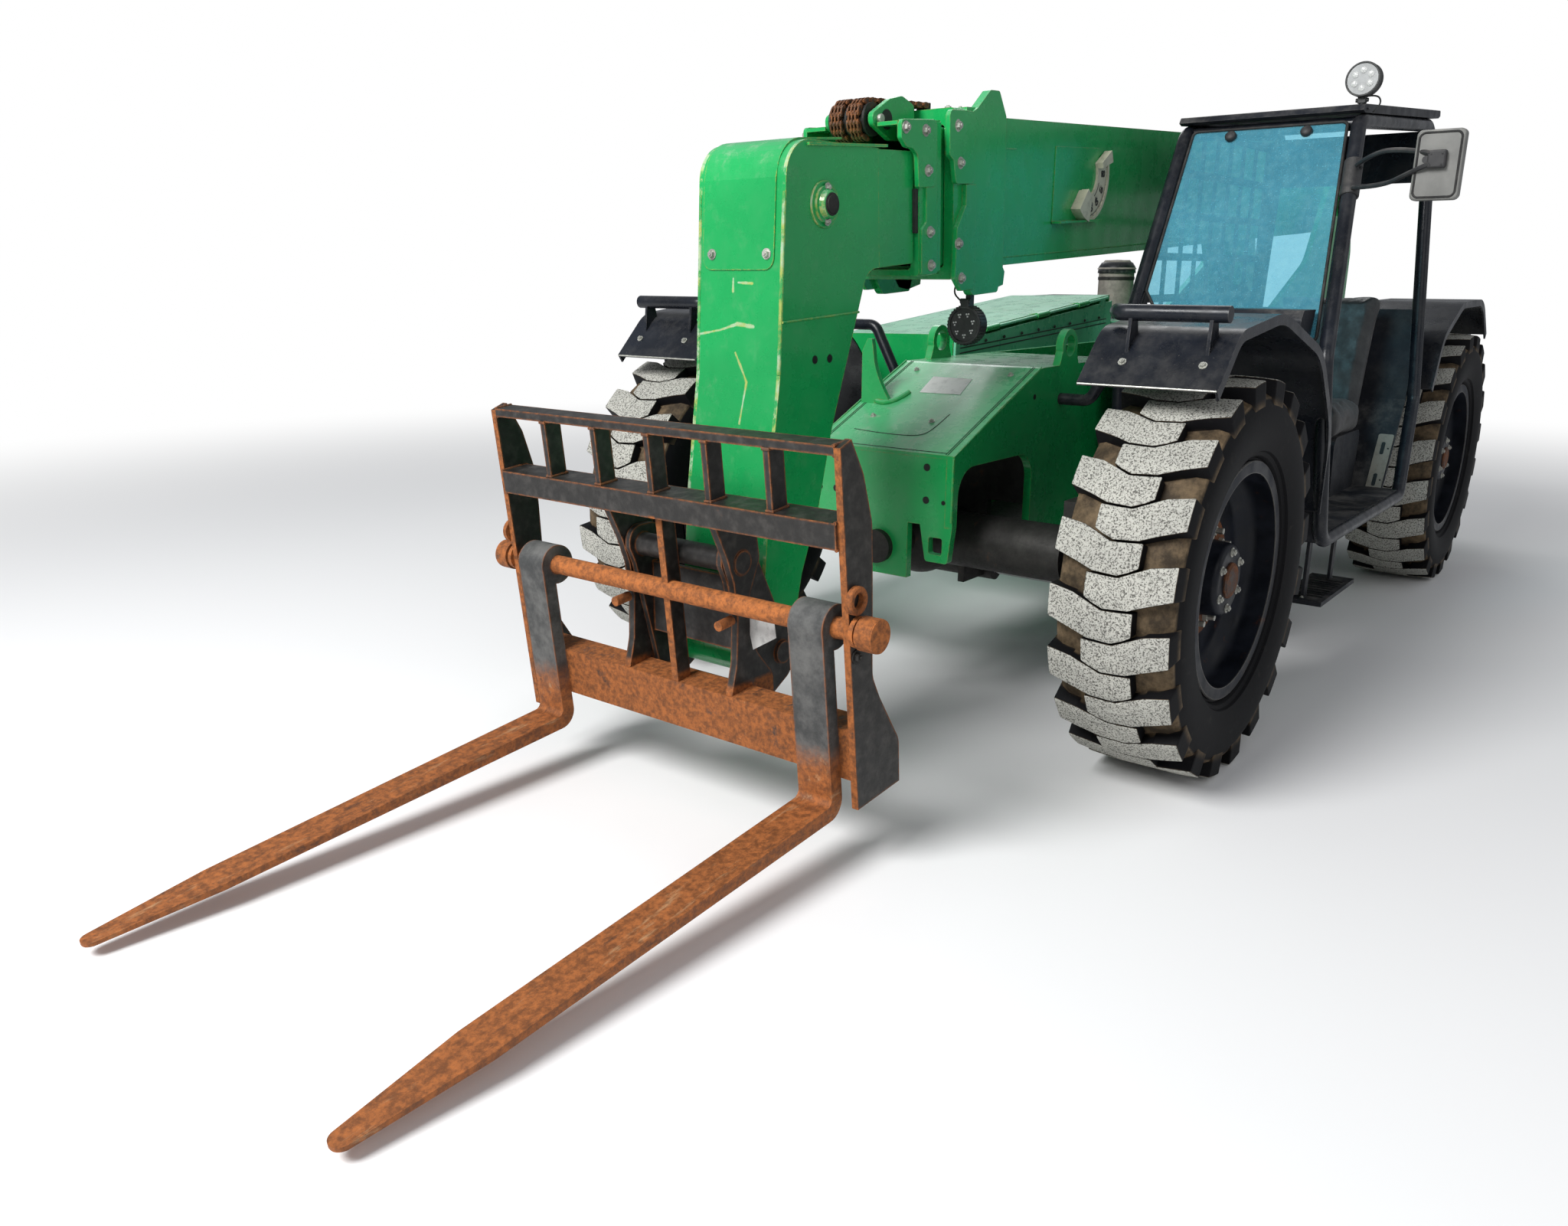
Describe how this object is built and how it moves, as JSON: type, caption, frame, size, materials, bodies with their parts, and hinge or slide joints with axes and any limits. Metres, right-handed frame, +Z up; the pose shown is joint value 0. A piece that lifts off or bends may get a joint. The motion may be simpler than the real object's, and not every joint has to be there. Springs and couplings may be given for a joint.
{
  "type": "telehandler",
  "caption": "Telescopic boom handler with an open side cab, a gooseneck head, a tilting fork carriage and steered lugged wheels.",
  "frame": {"origin": "on the ground below the middle of the whole machine", "axes": "+X forward to the fork tips, +Y to the cab side (machine left), +Z up"},
  "size_m": [7.5392, 2.97, 2.365],
  "materials": {
    "green_paint": "gloss paint, scratched",
    "black_paint": "semi-gloss paint, dusty",
    "rim_black": "satin paint, dusty",
    "tyre": "rubber with dusty lugs",
    "rusty_steel": "worn black paint over rust",
    "dark_steel": "dark paint",
    "bright_rod": "polished",
    "chain_steel": "oiled",
    "cab_glass": "clear, dusty",
    "seat_vinyl": "vinyl",
    "cab_plastic": "moulded",
    "lamp_shell": "moulded",
    "dial_beige": "sun-faded"
  },
  "bodies": {
    "chassis": {"frame_nose": "green_paint", "frame_crossmembers": "green_paint", "counterweight": "dark_steel", "engine_block": "dark_steel", "engine_tray": "black_paint", "exhaust": "black_paint", "fuel_tank": "black_paint", "cab_frame": "black_paint", "cab_tub": "black_paint", "cab_roof": "black_paint", "windscreen": "cab_glass", "mesh_guard": "black_paint", "seat_base": "seat_vinyl", "seat": "seat_vinyl", "cab_controls": "cab_plastic", "left_mirror": "black_paint", "work_lamp": "lamp_shell", "left_frame_rail": "green_paint", "right_frame_rail": "green_paint", "front_left_fender": "black_paint", "front_right_fender": "black_paint", "rear_left_fender": "black_paint", "rear_right_fender": "black_paint", "front_axle": "dark_steel", "rear_axle": "dark_steel"},
    "hood": {"engine_hood": "green_paint"},
    "boom_outer": {"boom_outer": "green_paint", "angle_dial": "dial_beige", "hanging_lamp": "lamp_shell"},
    "boom_mid": {"boom_mid": "green_paint", "extend_chain": "chain_steel"},
    "boom_inner": {"boom_inner": "green_paint", "boom_head": "green_paint"},
    "lift_barrel": {"lift_barrel": "dark_steel"},
    "lift_rod": {"lift_rod": "bright_rod"},
    "carriage": {"coupler": "dark_steel", "carriage": "rusty_steel", "fork_shaft": "rusty_steel"},
    "left_fork": {"left_fork": "rusty_steel"},
    "right_fork": {"right_fork": "rusty_steel"},
    "front_tie_rod": {"front_tie_rod": "bright_rod"},
    "rear_tie_rod": {"rear_tie_rod": "bright_rod"},
    "front_left_knuckle": {"front_left_knuckle": "dark_steel"},
    "front_left_wheel": {"front_left_tyre": "tyre", "front_left_rim": "rim_black"},
    "front_right_knuckle": {"front_right_knuckle": "dark_steel"},
    "front_right_wheel": {"front_right_tyre": "tyre", "front_right_rim": "rim_black"},
    "rear_left_knuckle": {"rear_left_knuckle": "dark_steel"},
    "rear_left_wheel": {"rear_left_tyre": "tyre", "rear_left_rim": "rim_black"},
    "rear_right_knuckle": {"rear_right_knuckle": "dark_steel"},
    "rear_right_wheel": {"rear_right_tyre": "tyre", "rear_right_rim": "rim_black"}
  },
  "joints": [
    {"name": "boom_lift", "type": "hinge", "parent": "chassis", "child": "boom_outer", "pos_m": [-3.06965, 0, 1.96], "axis": [0, -1, 0], "range_deg": [0, 70]},
    {"name": "boom_extend", "type": "slide", "parent": "boom_outer", "child": "boom_mid", "axis": [0.9985, 0, -0.0541], "range_m": [0, 3]},
    {"name": "boom_extend_inner", "type": "slide", "parent": "boom_mid", "child": "boom_inner", "axis": [0.9985, 0, -0.0541], "range_m": [0, 3]},
    {"name": "carriage_tilt", "type": "hinge", "parent": "boom_inner", "child": "carriage", "pos_m": [2.01035, 0, 0.48], "axis": [0, 1, 0], "range_deg": [-20, 95]},
    {"name": "lift_barrel_swing", "type": "hinge", "parent": "chassis", "child": "lift_barrel", "pos_m": [-3.06965, 0, 1.01], "axis": [0, -1, 0], "range_deg": [0, 38]},
    {"name": "lift_rod_slide", "type": "slide", "parent": "lift_barrel", "child": "lift_rod", "axis": [0.8659, 0, 0.5001], "range_m": [0, 0.7933]},
    {"name": "hood_open", "type": "hinge", "parent": "chassis", "child": "hood", "pos_m": [0.05835, -0.4, 1.313], "axis": [-0.9959, 0, 0.0906], "range_deg": [0, 60]},
    {"name": "left_fork_swing", "type": "hinge", "parent": "carriage", "child": "left_fork", "pos_m": [2.29035, 0, 0.7], "axis": [0, -1, 0], "range_deg": [0, 20]},
    {"name": "right_fork_swing", "type": "hinge", "parent": "carriage", "child": "right_fork", "pos_m": [2.29035, 0, 0.7], "axis": [0, -1, 0], "range_deg": [0, 20]},
    {"name": "front_left_steer", "type": "hinge", "parent": "chassis", "child": "front_left_knuckle", "pos_m": [0.93035, 0.8, 0.64], "axis": [0, 0, 1], "range_deg": [-35, 35]},
    {"name": "front_left_spin", "type": "hinge", "parent": "front_left_knuckle", "child": "front_left_wheel", "pos_m": [0.93035, 1.025, 0.64], "axis": [0, 1, 0], "continuous": true},
    {"name": "front_right_steer", "type": "hinge", "parent": "chassis", "child": "front_right_knuckle", "pos_m": [0.93035, -0.8, 0.64], "axis": [0, 0, 1], "range_deg": [-35, 35]},
    {"name": "front_right_spin", "type": "hinge", "parent": "front_right_knuckle", "child": "front_right_wheel", "pos_m": [0.93035, -1.025, 0.64], "axis": [0, 1, 0], "continuous": true},
    {"name": "front_tie_rod_slide", "type": "slide", "parent": "chassis", "child": "front_tie_rod", "axis": [0, 1, 0], "range_m": [-0.1181, 0.1181]},
    {"name": "rear_left_steer", "type": "hinge", "parent": "chassis", "child": "rear_left_knuckle", "pos_m": [-2.36965, 0.8, 0.64], "axis": [0, 0, 1], "range_deg": [-35, 35]},
    {"name": "rear_left_spin", "type": "hinge", "parent": "rear_left_knuckle", "child": "rear_left_wheel", "pos_m": [-2.36965, 1.025, 0.64], "axis": [0, 1, 0], "continuous": true},
    {"name": "rear_right_steer", "type": "hinge", "parent": "chassis", "child": "rear_right_knuckle", "pos_m": [-2.36965, -0.8, 0.64], "axis": [0, 0, 1], "range_deg": [-35, 35]},
    {"name": "rear_right_spin", "type": "hinge", "parent": "rear_right_knuckle", "child": "rear_right_wheel", "pos_m": [-2.36965, -1.025, 0.64], "axis": [0, 1, 0], "continuous": true},
    {"name": "rear_tie_rod_slide", "type": "slide", "parent": "chassis", "child": "rear_tie_rod", "axis": [0, 1, 0], "range_m": [-0.1181, 0.1181]}
  ],
  "couplings": [
    {"joint": "boom_extend_inner", "follows": "boom_extend", "ratio": 1},
    {"joint": "lift_barrel_swing", "follows": "boom_lift", "ratio": 0.54},
    {"joint": "lift_rod_slide", "follows": "boom_lift", "m_per_rad": 0.64766},
    {"joint": "front_right_steer", "follows": "front_left_steer", "ratio": 1},
    {"joint": "front_tie_rod_slide", "follows": "front_left_steer", "m_per_rad": -0.19},
    {"joint": "rear_right_steer", "follows": "rear_left_steer", "ratio": 1},
    {"joint": "rear_tie_rod_slide", "follows": "rear_left_steer", "m_per_rad": 0.19}
  ]
}
